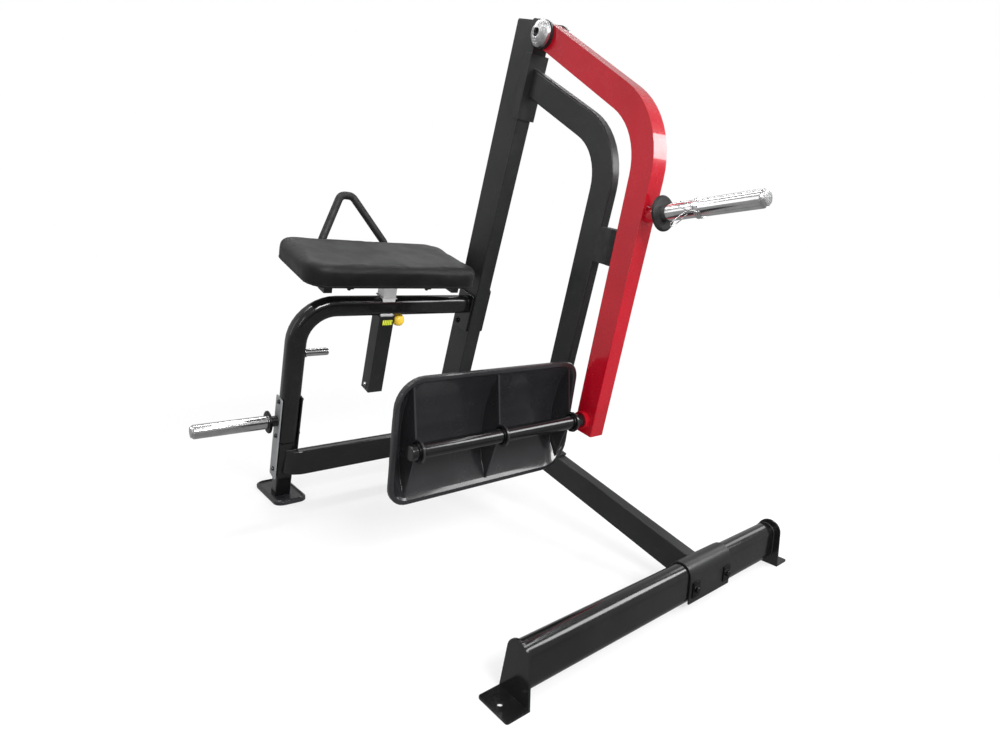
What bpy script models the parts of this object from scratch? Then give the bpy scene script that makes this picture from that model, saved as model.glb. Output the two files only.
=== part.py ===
"""Plate-loaded standing rear-kick machine, built as an assembly of separate parts.

Working frame: millimetres, X right along the cross member, Y away from the loading
end, Z up.  Seat-frame parts use (x, v, w) axes tilted by FRAME_TILT about X.
"""
import math

import bmesh
import bpy
from mathutils import Matrix, Vector

MM = 0.001
SHIFT = Vector((317.625, -745.92, 0.0))      # working frame -> record frame

# main frame
TUBE_T = 60.0
CROSS_X0, CROSS_X1 = -709.6, 368.4
CROSS_Z, CROSS_H = 74.5, 118.0
SPINE_W, SPINE_H, SPINE_TILT = 43.4, 87.0, 14.43
SPINE_Z30 = 72.7
FRAME_Y, FRAME_TILT = 1413.4, 18.12
UP_X0, UP_X1, UP_V0, UP_V1, UP_TOP = -34.0, 30.0, -58.5, 65.0, 1863.0
POST_X, POST_W, POST_T = -737.0, 70.0, 60.0
BEAM_W = 810.0
ARCH_W, ARCH_D, ARCH_R = 37.0, 88.0, 200.0
SLEEVE_X, SLEEVE_A, SLEEVE_BORE, PIN_W = -409.0, 61.6, 53.0, 748.5
# moving group
ARM_X0, ARM_X1, ARM_D, ARM_R = -33.0, 29.0, 81.0, 240.0
PIVOT_V, PIVOT_W = -101.0, 1825.0
FOOT_AXIS = (468.0, 432.0)
FOOT_TILT = -8.0
PLATE_X0, PLATE_X1, PLATE_U0, PLATE_U1 = -733.0, -50.0, -187.0, 196.0
CARRIER_W, PAD_BOTTOM, PAD_TOP = 897.0, 912.7, 990.0
HORN_D = 50.0
GAP = 0.35


def deg(a):
    return math.radians(a)


TV = Vector((0, math.cos(deg(FRAME_TILT)), math.sin(deg(FRAME_TILT))))
TW = Vector((0, -math.sin(deg(FRAME_TILT)), math.cos(deg(FRAME_TILT))))


def world(p):
    return Vector(p)


def tilted(p):
    return Vector((p[0], FRAME_Y, 0.0)) + TV * p[1] + TW * p[2]


PIVOT = tilted((0, PIVOT_V, PIVOT_W))

MATERIALS = {
    "frame_charcoal": ((0.055, 0.056, 0.058, 1), 0.0, 0.45),
    "frame_gloss_black": ((0.018, 0.018, 0.02, 1), 0.0, 0.18),
    "arm_red": ((0.62, 0.015, 0.03, 1), 0.0, 0.25),
    "chrome": ((0.78, 0.78, 0.79, 1), 1.0, 0.12),
    "steel": ((0.32, 0.32, 0.33, 1), 1.0, 0.35),
    "zinc_grey": ((0.42, 0.43, 0.43, 1), 0.6, 0.4),
    "rubber": ((0.02, 0.02, 0.02, 1), 0.0, 0.7),
    "plastic_black": ((0.025, 0.025, 0.025, 1), 0.0, 0.5),
    "yellow": ((0.8, 0.5, 0.03, 1), 0.0, 0.35),
    "label": ((0.62, 0.7, 0.03, 1), 0.0, 0.5),
    "vinyl": ((0.02, 0.02, 0.021, 1), 0.0, 0.5),
    "plywood": ((0.05, 0.036, 0.026, 1), 0.0, 0.6),
    "bolt_black": ((0.03, 0.03, 0.032, 1), 0.8, 0.35),
}


def material(name):
    mat = bpy.data.materials.get(name)
    if mat:
        return mat
    mat = bpy.data.materials.new(name)
    mat.use_nodes = True
    color, metal, rough = MATERIALS[name]
    bsdf = mat.node_tree.nodes["Principled BSDF"]
    bsdf.inputs["Base Color"].default_value = color
    bsdf.inputs["Metallic"].default_value = metal
    bsdf.inputs["Roughness"].default_value = rough
    return mat


def add(name, bm, slot, origin=None, smooth=False):
    """Turn a bmesh in working millimetres into a scene object in metres."""
    origin = PIVOT * 0 if origin is None else Vector(origin)
    bmesh.ops.recalc_face_normals(bm, faces=bm.faces)
    for v in bm.verts:
        v.co = (v.co - origin) * MM
    for f in bm.faces:
        f.smooth = smooth
    mesh = bpy.data.meshes.new(name)
    bm.to_mesh(mesh)
    bm.free()
    obj = bpy.data.objects.new(name, mesh)
    obj.location = (origin + SHIFT) * MM
    mesh.materials.append(material(slot))
    bpy.context.scene.collection.objects.link(obj)
    if smooth:
        mesh.set_sharp_from_angle(angle=deg(35))
    return obj


def boolean(obj, cutters, operation="DIFFERENCE"):
    """Apply exact booleans and drop the helpers."""
    bpy.context.view_layer.objects.active = obj
    for cutter in cutters:
        cutter.hide_render = True
        cutter.display_type = "WIRE"
        mod = obj.modifiers.new("bool", "BOOLEAN")
        mod.solver = "EXACT"
        mod.operation = operation
        mod.object = cutter
        bpy.ops.object.modifier_apply(modifier=mod.name)
    for cutter in cutters:
        bpy.data.objects.remove(cutter, do_unlink=True)
    return obj


# --- primitive solids -------------------------------------------------------

def prism(outline, a, b, put, ends=(), radius=0.0, segs=2):
    """Closed prism of a 2D outline; put(p, q, t) maps to working space.

    Long edges are rounded by radius except on outline segments listed in ends.
    """
    bm = bmesh.new()
    lo = [bm.verts.new(put(p, q, a)) for p, q in outline]
    hi = [bm.verts.new(put(p, q, b)) for p, q in outline]
    bm.faces.new(lo[::-1])
    bm.faces.new(hi)
    n = len(outline)
    edges = []
    for i in range(n):
        j = (i + 1) % n
        bm.faces.new((lo[i], lo[j], hi[j], hi[i]))
        if i not in ends:
            edges.append(bm.edges.get((lo[i], lo[j])))
            edges.append(bm.edges.get((hi[i], hi[j])))
    if radius > 0:
        bmesh.ops.bevel(bm, geom=edges, offset=radius, segments=segs, profile=0.5,
                        affect="EDGES", clamp_overlap=True)
    return bm


def yz(p, q, t):
    return Vector((t, p, q))


def xy(p, q, t):
    return Vector((p, q, t))


def xw(p, q, t):
    return tilted((p, t, q))


def vw(p, q, t):
    return tilted((t, p, q))


def xv(p, q, t):
    return tilted((p, q, t))


def rect(x0, x1, y0, y1):
    return [(x0, y0), (x1, y0), (x1, y1), (x0, y1)]


def rounded(points, radius, segs=6):
    """Round every corner of a convex outline."""
    out = []
    n = len(points)
    for i in range(n):
        p = Vector(points[i])
        a = (Vector(points[i - 1]) - p).normalized()
        b = (Vector(points[(i + 1) % n]) - p).normalized()
        r = radius[i] if isinstance(radius, (list, tuple)) else radius
        out += fillet(p, a, b, r, segs)
    return out


def fillet(p, a, b, r, segs):
    """Arc tangent to both rays a and b leaving corner p."""
    if r <= 0:
        return [tuple(p)]
    half = a.angle(b) / 2
    start = p + a * (r / math.tan(half))
    center = p + (a + b).normalized() * (r / math.sin(half))
    u = start - center
    end = p + b * (r / math.tan(half))
    w = end - center
    total = u.angle(w)
    perp = (w - u * (u.dot(w) / u.dot(u))).normalized() * u.length
    arc = []
    for k in range(segs + 1):
        t = total * k / segs
        arc.append(tuple(center + u * math.cos(t) + perp * math.sin(t)))
    return arc


def box(x0, x1, v0, v1, w0, w1, put=tilted, radius=0.0):
    """Box aligned with the frame of put."""
    bm = prism(rect(x0, x1, v0, v1), w0, w1, lambda p, q, t: put((p, q, t)))
    if radius > 0:
        bmesh.ops.bevel(bm, geom=list(bm.edges), offset=radius, segments=2,
                        profile=0.5, affect="EDGES", clamp_overlap=True)
    return bm


def basis(axis):
    z = Vector(axis).normalized()
    x = Vector((1, 0, 0)) if abs(z.x) < 0.9 else Vector((0, 1, 0))
    x = (x - z * x.dot(z)).normalized()
    return x, z.cross(x), z


def lathe(base, axis, profile, n=32, phase=0.0):
    """Solid of revolution; profile is (radius, height) pairs, a ring if it stays off axis."""
    x, y, z = basis(axis)
    base = Vector(base)
    bm = bmesh.new()
    rings = []
    for r, h in profile:
        if r <= 1e-6:
            rings.append([bm.verts.new(base + z * h)])
            continue
        ring = []
        for k in range(n):
            t = 2 * math.pi * (k + phase) / n
            ring.append(bm.verts.new(base + z * h + (x * math.cos(t) + y * math.sin(t)) * r))
        rings.append(ring)
    pairs = list(zip(rings, rings[1:]))
    if len(rings[0]) > 1 and len(rings[-1]) > 1:
        pairs.append((rings[-1], rings[0]))
    for a, b in pairs:
        join_rings(bm, a, b, n)
    return bm


def join_rings(bm, a, b, n):
    for k in range(n):
        j = (k + 1) % n
        if len(a) == 1:
            bm.faces.new((a[0], b[k], b[j]))
        elif len(b) == 1:
            bm.faces.new((a[k], b[0], a[j]))
        else:
            bm.faces.new((a[k], b[k], b[j], a[j]))


def rod(base, axis, r, length, n=32, chamfer=1.0):
    c = chamfer
    return lathe(base, axis, [(0, 0), (r - c, 0), (r, c), (r, length - c), (r - c, length),
                              (0, length)], n)


def ring(base, axis, r_in, r_out, length, n=32, c=0.8):
    return lathe(base, axis, [(r_in, c), (r_in + c, 0), (r_out - c, 0), (r_out, c),
                              (r_out, length - c), (r_out - c, length), (r_in + c, length),
                              (r_in, length - c)], n)


def bolt(name, base, axis, r=8.5, h=8.0, washer=13.0, slot="steel"):
    """Hex head with a washer flange, one closed body of revolution with six flats."""
    washer_bm = lathe(base, axis, [(0, 0), (washer, 0), (washer, 2.0), (washer - 0.6, 2.6),
                                   (0, 2.6)], 24)
    obj = add(name, washer_bm, slot)
    head = lathe(base, axis, [(0, 1.2), (r * 1.1, 1.2), (r * 1.1, h), (r * 0.92, h + 1.4),
                              (0, h + 1.4)], 6)
    return boolean(obj, [add("cut_head", head, slot)], "UNION")


def sweep(path, radius, n=16):
    """Round tube along a point list with flat ends."""
    bm = bmesh.new()
    pts = [Vector(p) for p in path]
    tangent = (pts[1] - pts[0]).normalized()
    x = basis(tangent)[0]
    rings = []
    for i, p in enumerate(pts):
        a = pts[max(i - 1, 0)]
        b = pts[min(i + 1, len(pts) - 1)]
        new = (b - a).normalized()
        x = (tangent.rotation_difference(new) @ x)
        x = (x - new * x.dot(new)).normalized()
        tangent = new
        y = new.cross(x)
        rings.append([bm.verts.new(p + (x * math.cos(2 * math.pi * k / n)
                                        + y * math.sin(2 * math.pi * k / n)) * radius)
                      for k in range(n)])
    for a, b in zip(rings, rings[1:]):
        join_rings(bm, a, b, n)
    bm.faces.new(rings[0])
    bm.faces.new(rings[-1][::-1])
    return bm


def bend_path(points, radius, segs=8):
    """Polyline with filleted corners (3D)."""
    pts = [Vector(p) for p in points]
    out = [pts[0]]
    for prev, p, nxt in zip(pts, pts[1:], pts[2:]):
        out += [Vector(q) for q in fillet(p, (prev - p).normalized(), (nxt - p).normalized(),
                                          radius, segs)]
    out.append(pts[-1])
    return out


def cross2(a, b):
    return a[0] * b[1] - a[1] * b[0]


def meet(p, d, q, e):
    """Intersection of 2D lines p + d and q + e."""
    t = cross2((q[0] - p[0], q[1] - p[1]), e) / cross2(d, e)
    return (p[0] + d[0] * t, p[1] + d[1] * t)


def bend(p0, corner, p2, radius, segs):
    """Stations of a bar bent once in its plane, each with its outward direction."""
    p0, c, p2 = Vector(p0), Vector(corner), Vector(p2)
    a, b = (p0 - c).normalized(), (p2 - c).normalized()
    arc = [Vector(q) for q in fillet(c, a, b, radius, segs)]
    center = c + (a + b).normalized() * (radius / math.sin(a.angle(b) / 2))
    away = [(q - center).normalized() for q in arc]
    return [p0] + arc + [p2], [away[0]] + away + [away[-1]]


def bent_outline(p0, corner, p2, depth, radius, segs=8):
    """Outline of a flat bar bent once in its plane."""
    stations, away = bend(p0, corner, p2, radius, segs)
    outer = [tuple(q + n * depth / 2) for q, n in zip(stations, away)]
    inner = [tuple(q - n * depth / 2) for q, n in zip(stations, away)]
    return outer + inner[::-1]


def bent_bar(p0, corner, p2, depth, width, radius, edge, put, segs=8):
    """Rounded rectangular tube bent once in its plane, with flat ends."""
    section = rounded(rect(-depth / 2, depth / 2, -width / 2, width / 2), edge, 4)
    bm = bmesh.new()
    rings = []
    for q, n in zip(*bend(p0, corner, p2, radius, segs)):
        rings.append([bm.verts.new(put(q.x + n.x * d, q.y + n.y * d, t)) for d, t in section])
    for a, b in zip(rings, rings[1:]):
        join_rings(bm, a, b, len(section))
    bm.faces.new(rings[0])
    bm.faces.new(rings[-1][::-1])
    return bm


def bisect(bm, point, normal):
    """Trim away the side the normal points to and close the cut."""
    geom = list(bm.verts) + list(bm.edges) + list(bm.faces)
    cut = bmesh.ops.bisect_plane(bm, geom=geom, plane_co=point, plane_no=normal,
                                 clear_outer=True, dist=0.0001)
    edges = [e for e in cut["geom_cut"] if isinstance(e, bmesh.types.BMEdge)]
    bmesh.ops.contextual_create(bm, geom=edges)
    return bm


# --- base frame -------------------------------------------------------------

def stadium(half_t, half_h, zc, segs=8):
    """Flat-oval section in YZ."""
    pts = []
    for k in range(segs + 1):
        t = math.pi * k / segs
        pts.append((half_t * math.cos(t), zc + half_h - half_t + half_t * math.sin(t)))
    for k in range(segs + 1):
        t = math.pi + math.pi * k / segs
        pts.append((half_t * math.cos(t), zc - half_h + half_t + half_t * math.sin(t)))
    return pts


def cross_member():
    outline = stadium(TUBE_T / 2, CROSS_H / 2, CROSS_Z)
    return add("cross_member", prism(outline, CROSS_X0, CROSS_X1, yz), "frame_gloss_black",
               smooth=True)


def floor_bracket(name, x_face, sign):
    """End plate with a bolted floor flange."""
    arc = []
    for k in range(12):
        t = deg(14) + deg(163) * k / 11
        arc.append((-11 + 37 * math.cos(t), 112 + 37 * math.sin(t)))
    outline = [(-51.5, 0), (49.0, 0)] + arc
    x_out = x_face + sign * 6.0
    plate = add(name, prism(outline, min(x_face, x_out), max(x_face, x_out), yz),
                "frame_gloss_black", smooth=True)
    far = x_face + sign * 65.0
    corners = [(x_face, -51.5), (far, -51.5), (far, 49.0), (x_face, 49.0)]
    flange = add("cut_flange", prism(rounded(corners, [0, 6, 6, 0], 3), 0, 6, xy),
                 "frame_gloss_black")
    boolean(plate, [flange], "UNION")
    hole = add("cut_hole", rod((x_face + sign * 42, 0, -5), (0, 0, 1), 7, 20, 20), "steel")
    return boolean(plate, [hole])


def saddle_plate():
    """Inverted U over the cross member that carries the spine."""
    half_h = CROSS_H / 2
    outer = stadium(TUBE_T / 2 + 5.5, half_h + 5.5, CROSS_Z)[:9]
    inner = stadium(TUBE_T / 2 + GAP, half_h + GAP, CROSS_Z)[:9]
    outline = [(outer[0][0], 25.0)] + outer + [(outer[-1][0], 25.0), (inner[-1][0], 25.0)]
    outline += inner[::-1] + [(inner[0][0], 25.0)]
    add("saddle_plate", prism(outline, -106, 99, yz), "frame_charcoal", smooth=True)
    for name, x in (("saddle_bolt_left", -79), ("saddle_bolt_right", 77)):
        obj = bolt(name, (x, -37.5, 66), (0, -1, 0), 8, 8, 11, "bolt_black")
        plate = box(x - 17, x + 17, -39, -35.8, 42, 88, world, 0.8)
        boolean(obj, [add("cut_plate", plate, "bolt_black")], "UNION")


SPINE_DIR = (math.cos(deg(SPINE_TILT)), math.sin(deg(SPINE_TILT)))
SPINE_NRM = (-SPINE_DIR[1], SPINE_DIR[0])


def spine_point(y, off):
    """Point of the spine line offset by off, at a given Y."""
    base = (30 + SPINE_NRM[0] * off, SPINE_Z30 + SPINE_NRM[1] * off)
    return meet(base, SPINE_DIR, (y, 0), (0, 1))


def face_line(v):
    """YZ line of a frame plane v = const."""
    p = tilted((0, v, 0))
    return (p.y, p.z), (TW.y, TW.z)


def spine():
    h = SPINE_H / 2
    near = [spine_point(36.1, -h), spine_point(36.1, h)]
    line = face_line(UP_V0 - GAP)
    far = [meet(spine_point(300, h), SPINE_DIR, *line),
           meet(spine_point(300, -h), SPINE_DIR, *line)]
    outline = [near[0], far[1], far[0], near[1]]
    bm = prism(outline, -SPINE_W / 2, SPINE_W / 2, yz, (1, 3), 5)
    add("spine_tube", bm, "frame_charcoal")


def upright():
    near, far = face_line(UP_V0), face_line(UP_V1)
    low = 20.0
    a = meet(near[0], near[1], (0, low), (1, 0))
    b = meet(far[0], far[1], (0, low), (1, 0))
    c = tilted((0, UP_V1, UP_TOP))
    d = tilted((0, UP_V0, UP_TOP))
    outline = [a, b, (c.y, c.z), (d.y, d.z)]
    obj = add("upright_frame", prism(outline, UP_X0, UP_X1, yz, (0, 2), 5), "frame_charcoal",
              smooth=True)
    boolean(obj, [pivot_lug(UP_X0 - 10.4, UP_X0 + 1), pivot_lug(UP_X1 - 1, UP_X1 + 10.4)],
            "UNION")
    cap = prism(rounded(rect(UP_X0 + 1.5, UP_X1 - 1.5, UP_V0, UP_V1), 6, 3), UP_TOP + GAP, UP_TOP + 4, xv)
    add("upright_cap", cap, "plastic_black")


def foot_pad(name, xc):
    """Rubber foot with a raised rim around a recessed seat."""
    pts = [(xc - 61, 1306), (xc + 61, 1306), (xc + 61, 1573), (xc - 61, 1573)]
    outer = rounded(pts, 34, 5)
    inner = rounded([(x - math.copysign(9, x - xc), y - math.copysign(9, y - 1440))
                     for x, y in pts], 25, 5)
    bm = bmesh.new()
    loops = []
    for pts2, z in ((outer, 0.0), (outer, 14.0), (inner, 19.0), (inner, 13.0)):
        loops.append([bm.verts.new((x, y, z)) for x, y in pts2])
    for a, b in zip(loops, loops[1:]):
        join_rings(bm, a, b, len(a))
    bm.faces.new(loops[0][::-1])
    bm.faces.new(loops[-1])
    add(name, bm, "rubber", smooth=True)


def lower_post():
    """Short stub post between the foot and the seat frame."""
    near, far = face_line(-25), face_line(25)
    a = meet(near[0], near[1], (0, 13.4), (1, 0))
    b = meet(far[0], far[1], (0, 13.4), (1, 0))
    c, d = tilted((0, 25, 262)), tilted((0, -25, 262))
    outline = [a, b, (c.y, c.z), (d.y, d.z)]
    add("lower_post", prism(outline, POST_X - 30, POST_X + 30, yz, (0, 2), 5),
        "frame_gloss_black")


def splice():
    x0, x1 = POST_X - POST_W / 2, POST_X + POST_W / 2
    outline = rounded(rect(-27, 27, 104, 455), 6, 3)
    left = prism(outline, x0 - 5.8, x0 - GAP, vw)
    add("splice_plate_left", left, "zinc_grey")
    right = prism(rounded(rect(-24.5, 27, 200, 455), 6, 3), x1 + GAP, x1 + 5.8, vw)
    plate = add("splice_plate_right", right, "frame_gloss_black")
    nuts = [bolt("cut_nut", tilted((x1 + 5, -8, w)), (1, 0, 0), 6, 6, 9) for w in (442, 295)]
    boolean(plate, nuts, "UNION")
    for k, w in enumerate((442, 295, 146)):
        bolt("splice_bolt_%d" % (k + 1), tilted((x0 - 6.2, -8, w)), (-1, 0, 0), 6, 6, 9, "bolt_black")


def storage_horn():
    """Weight storage horn on the side of the post."""
    x0 = POST_X - POST_W / 2 - 6.2
    at = (x0, 1301.5, 337.9)
    add("storage_horn_stem", rod(at, (-1, 0, 0), 20, 26), "frame_gloss_black", smooth=True)
    disc = (x0 - 26.4, at[1], at[2])
    profile = [(0, 0), (36, 0), (42, 3), (42, 8), (38, 11), (0, 11)]
    add("storage_horn_flange", lathe(disc, (-1, 0, 0), profile, 40), "bolt_black",
        smooth=True)
    start = (x0 - 37.8, at[1], at[2])
    profile = [(0, 0), (HORN_D / 2, 0), (HORN_D / 2, 244), (HORN_D / 2 - 3, 248), (20, 249),
               (19, 253.0), (0, 253.0)]
    add("storage_horn_sleeve", lathe(start, (-1, 0, 0), profile, 40), "chrome", smooth=True)


def accessory_peg():
    at = tilted((POST_X + POST_W / 2 + GAP, 0, 631))
    profile = [(0, 0), (17, 0), (17, 6), (14, 6), (14, 84), (12, 88), (0, 88)]
    add("accessory_peg", lathe(at, (1, 0, 0), profile, 32), "chrome", smooth=True)


def front_beam():
    """Low beam, bent in plan into the stub post."""
    yc, zc, half = 1311.0, 163.0, 25.0
    bm = bent_bar((UP_X0 - GAP, yc), (POST_X + 10, yc), (POST_X + 10, yc + 90),
                  2 * half, 94, 46, 7, lambda p, q, t: Vector((p, q, zc + t)))
    bisect(bm, tilted((0, -25 - GAP, 0)), TV)
    add("front_beam", bm, "frame_gloss_black", smooth=True)


# --- seat frame -------------------------------------------------------------

def seat_frame():
    """Post and seat beam bent from one tube, with a through hole for the pad post."""
    bm = bent_bar((POST_X, 262 + 6), (POST_X, BEAM_W), (UP_X0 - 4.0, BEAM_W), POST_W, POST_T,
                  135, 22, xw, 10)
    obj = add("seat_frame_tube", bm, "frame_gloss_black", smooth=True)
    half = SLEEVE_BORE / 2
    hole = box(SLEEVE_X - half, SLEEVE_X + half, -half, half, 740, 900)
    boolean(obj, [add("cut_hole", hole, "steel")])
    plate = prism(rounded(rect(-50, 50, 704, 862), 8, 3), UP_X0 - 8.4, UP_X0 - GAP, vw)
    boolean(obj, [add("cut_flange", plate, "steel")], "UNION")
    plate = prism(rounded(rect(-56, 50, 704, 890), 8, 3), UP_X1 + GAP, UP_X1 + 8.0, vw)
    add("backing_plate", plate, "frame_charcoal")
    bolt("flange_bolt", tilted((UP_X0 - 8.8, 22, 729)), (-1, 0, 0), slot="bolt_black")


def height_sleeve():
    """Square guide tube under the seat beam with its pull-pin boss."""
    a, b = SLEEVE_A / 2, SLEEVE_BORE / 2
    beam_under = BEAM_W - POST_W / 2
    bm = box(SLEEVE_X - a, SLEEVE_X + a, -a, a, 450, beam_under - GAP)
    obj = add("height_sleeve", bm, "frame_charcoal")
    bore = box(SLEEVE_X - b, SLEEVE_X + b, -b, b, 440, 800)
    hole = rod(tilted((SLEEVE_X, 0, PIN_W)), (1, 0, 0), 5.2, 60, 16)
    boolean(obj, [add("cut_bore", bore, "steel"), add("cut_hole", hole, "steel")])
    top = BEAM_W + POST_W / 2 + GAP
    bm = box(SLEEVE_X - 30.5, SLEEVE_X + 30.5, -29, 29, top, top + 3.5, radius=1)
    collar = add("guide_collar", bm, "steel")
    bore = box(SLEEVE_X - b, SLEEVE_X + b, -b, b, top - 5, top + 20)
    boolean(collar, [add("cut_bore", bore, "steel")])
    bolt("sleeve_stop_bolt", tilted((SLEEVE_X - a - GAP, 0, 476)), (-1, 0, 0), 6, 6, 9)
    at = tilted((SLEEVE_X + a + GAP, 0, PIN_W))
    add("pin_housing", ring(at, (1, 0, 0), 5.2, 12, 9, 24), "steel", smooth=True)
    bm = box(SLEEVE_X - 16, SLEEVE_X + 24, -a - 1.6, -a - GAP, 742, 762)
    add("index_label", bm, "label")


def height_post():
    """Inner post that carries the pad; its row of index holes faces the pull pin."""
    h = SLEEVE_BORE / 2 - 0.6
    bm = box(SLEEVE_X - h, SLEEVE_X + h, -h, h, 560, CARRIER_W, radius=1.5)
    obj = add("height_post", bm, "chrome")
    holes = []
    for k in range(6):
        at = tilted((SLEEVE_X + h - 12, 0, PIN_W - 150 + 30 * k))
        holes.append(add("cut_hole", rod(at, (1, 0, 0), 5.2, 20, 16), "steel"))
    boolean(obj, holes)


def pad_group():
    """Carrier, board, cushion, grip loop and screws that ride on the height post."""
    low = CARRIER_W + GAP
    bm = box(-690, -128, -36, 36, low, low + 8)
    carrier = add("pad_carrier", bm, "frame_charcoal")
    legs = []
    for x in (-602, -288):
        legs.append(add("cut_leg", box(x, x + 24, -68, 190, low + 2, low + 9), "steel"))
    for x in (-684, -164):
        legs.append(add("cut_clip", box(x, x + 30, -62, -12, low - 14, low + 9), "steel"))
    boolean(carrier, legs, "UNION")
    board = rounded([(-730, -78), (-96, -78), (-100, 214), (-731, 216)], [60, 40, 62, 45], 5)
    board_w = low + 9 + GAP
    add("pad_board", prism(board, board_w, PAD_BOTTOM, xv), "plywood")
    outline = rounded([(-756, -104), (-70, -104), (-73, 240), (-757, 243)], [78, 52, 84, 62], 8)
    bm = prism(outline, PAD_BOTTOM + GAP, PAD_TOP, xv)
    top = [e for e in bm.edges if all((Vector(v.co) - tilted((0, 0, PAD_TOP))).dot(TW) > -0.01
                                      for v in e.verts)]
    bmesh.ops.bevel(bm, geom=top, offset=27, segments=5, profile=0.5, affect="EDGES",
                    clamp_overlap=True)
    add("torso_pad", bm, "vinyl", smooth=True)
    for name, x in (("pad_bolt_left", -590), ("pad_bolt_right", -276)):
        bolt(name, tilted((x, -54, low + 2 - GAP)), -TW, 6, 6, 9, "bolt_black")


def grip_loop():
    """Bent round bar behind the pad, fixed to the carrier legs."""
    low = CARRIER_W + GAP
    w = low - 16.6
    pts = [(-590, 130, w), (-590, 261, w), (-568, 264, 974), (-484, 334, 1130),
           (-436, 334, 1130), (-308, 264, 974), (-276, 261, w), (-276, 130, w)]
    pts = [tilted(p) for p in pts]
    bm = sweep(bend_path(pts, 30, 6), 15, 16)
    add("grip_loop", bm, "rubber", smooth=True)


def pull_pin():
    """Spring pull pin: rod plus round knob."""
    at = tilted((SLEEVE_X + SLEEVE_A / 2, 0, PIN_W))
    tip = at + Vector((-3.6, 0, 0))
    add("pull_pin_rod", rod(tip, (1, 0, 0), 4.7, 18, 20, 0.6), "steel", at, True)
    knob = at + Vector((14.4 + GAP, 0, 0))
    profile = [(0, 0), (13, 0), (17, 3), (22, 10), (24, 18), (24, 27), (21, 34), (15, 40), (7, 43),
               (0, 43.5)]
    add("pull_pin_knob", lathe(knob, (1, 0, 0), profile, 32), "yellow", at, True)


# --- arch and stop ----------------------------------------------------------

ARCH_CORNER = (441.9, 1319.7)
ARCH_UP = Vector((1.0, 0.65)).normalized()
ARCH_DOWN = Vector((0.241, -1.0)).normalized()


def arch():
    c = Vector(ARCH_CORNER)
    bm = bent_bar(c + ARCH_UP * 560, c, c + ARCH_DOWN * 1200, ARCH_D, ARCH_W, ARCH_R, 6, yz, 10)
    foot = spine_point(600, SPINE_H / 2 + 4)
    bisect(bm, tilted((0, UP_V0 - 4, 0)), TV)
    bisect(bm, Vector((0, foot[0], foot[1])), Vector((0, -SPINE_NRM[0], -SPINE_NRM[1])))
    obj = add("arch_frame", bm, "frame_charcoal", smooth=True)
    bm = prism([(UP_X0 - 8, UP_V0 - 7.6), (UP_X1 + 8, UP_V0 - 7.6), (UP_X1 + 8, -34),
                (UP_X1 + GAP, -34), (UP_X1 + GAP, UP_V0 - GAP), (UP_X0 - GAP, UP_V0 - GAP),
                (UP_X0 - GAP, -34), (UP_X0 - 8, -34)], 1550, 1766, xv)
    channel = add("cut_channel", bm, "frame_charcoal")
    h = SPINE_H / 2
    lo, hi = h + GAP, h + 8.6
    outline = [spine_point(590, lo), spine_point(786, lo), spine_point(784, hi),
               spine_point(588, hi)]
    foot = add("cut_foot", prism(outline, -SPINE_W / 2, SPINE_W / 2, yz), "frame_charcoal")
    boolean(obj, [channel, foot], "UNION")
    n = (0, SPINE_NRM[0], SPINE_NRM[1])
    for name, y in (("arch_foot_bolt_near", 608), ("arch_foot_bolt_far", 766)):
        p = spine_point(y, hi + GAP)
        bolt(name, (4, p[0], p[1]), n, 7, 7, 11)


def arm_lines():
    """Centre lines of the swing arm: pivot, corner, lower end."""
    pivot = (PIVOT.y, PIVOT.z)
    lower = Vector((470.5, 386.2))
    up = Vector((-0.19601, 0.98060))
    d = Vector((1.0, 0.725)).normalized()
    corner = meet(lower, up, pivot, d)
    return pivot, corner, tuple(lower)


def stop_block():
    """Rubber-faced stop between the arch and the resting arm."""
    _, corner, lower = arm_lines()
    up = (Vector(corner) - Vector(lower)).normalized()
    side = Vector((up[1], -up[0]))
    arm_face = tuple(Vector(lower) + side * (ARM_D / 2 + 0.6))
    n = Vector((ARCH_DOWN[1], -ARCH_DOWN[0]))
    arch_face = Vector(ARCH_CORNER) + n * (ARCH_D / 2 + GAP)
    d = (1.0, 0.2)
    lo, hi = (420, 948), (420, 1062)
    mid = Vector(arm_face) + side * 26
    quad = [meet(arm_face, up, lo, d), meet(mid, up, lo, d), meet(mid, up, hi, d),
            meet(arm_face, up, hi, d)]
    add("stop_bumper", prism(rounded(quad, 4, 2), -27, 27, yz), "rubber")
    mid = Vector(arm_face) + side * (26 + GAP)
    quad = [meet(mid, up, lo, d), meet(arch_face, ARCH_DOWN, lo, d),
            meet(arch_face, ARCH_DOWN, hi, d), meet(mid, up, hi, d)]
    add("stop_mount", prism(quad, -24, 24, yz), "plastic_black")


# --- pivot and swing arm ----------------------------------------------------

def pivot_lug(x0, x1):
    """Side lug of the upright with the shaft bore."""
    circle = []
    for k in range(19):
        t = deg(82) + deg(216) * k / 18
        circle.append((PIVOT_V + 45 * math.cos(t), PIVOT_W + 45 * math.sin(t)))
    outline = [(-34, 1790), (-34, 1866), (-40, 1870)] + circle
    obj = add("cut_lug", prism(outline, x0, x1, vw), "frame_charcoal", smooth=True)
    bore = rod((x0 - 5, PIVOT.y, PIVOT.z), (1, 0, 0), 15.3, 30, 24)
    return boolean(obj, [add("cut_bore", bore, "steel")])


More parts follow.
